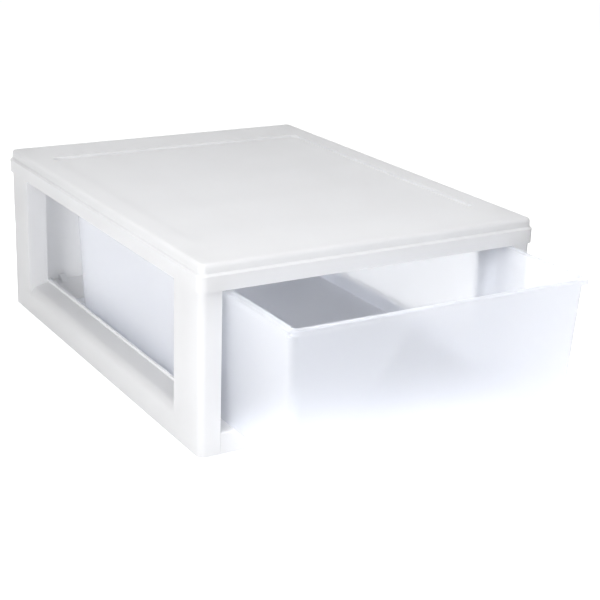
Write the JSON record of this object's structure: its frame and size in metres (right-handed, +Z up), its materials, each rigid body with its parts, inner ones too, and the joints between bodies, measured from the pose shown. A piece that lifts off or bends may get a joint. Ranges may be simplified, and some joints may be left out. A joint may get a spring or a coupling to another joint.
{
  "type": "stackable drawer box",
  "caption": "Low stackable storage box: white housing with open side windows, a stepped cover with a shallow stacking recess, and a frosted tub drawer that slides out of the front.",
  "frame": {"origin": "bottom centre of the whole object as stored, with the drawer pulled out 88.5 mm; the housing's own centre is 43.25 mm behind it", "axes": "+X to the right seen from the front, +Y from the front to the back, +Z up"},
  "size_m": [0.285, 0.4596, 0.1428],
  "materials": {
    "white_housing": "satin moulded polypropylene",
    "white_guide": "smooth slippery moulding",
    "frosted_drawer": "frosted translucent polypropylene"
  },
  "bodies": {
    "housing": {"top_cover": "white_housing", "side_frame_left": "white_housing", "side_frame_right": "white_housing", "base_panel": "white_housing", "back_panel": "white_housing", "guide_strip_left": "white_guide", "guide_strip_right": "white_guide"},
    "drawer": {"drawer": "frosted_drawer"}
  },
  "joints": [
    {"name": "drawer_slide", "type": "slide", "parent": "housing", "child": "drawer", "axis": [0, -1, 0], "range_m": [-0.089, 0.15]}
  ]
}
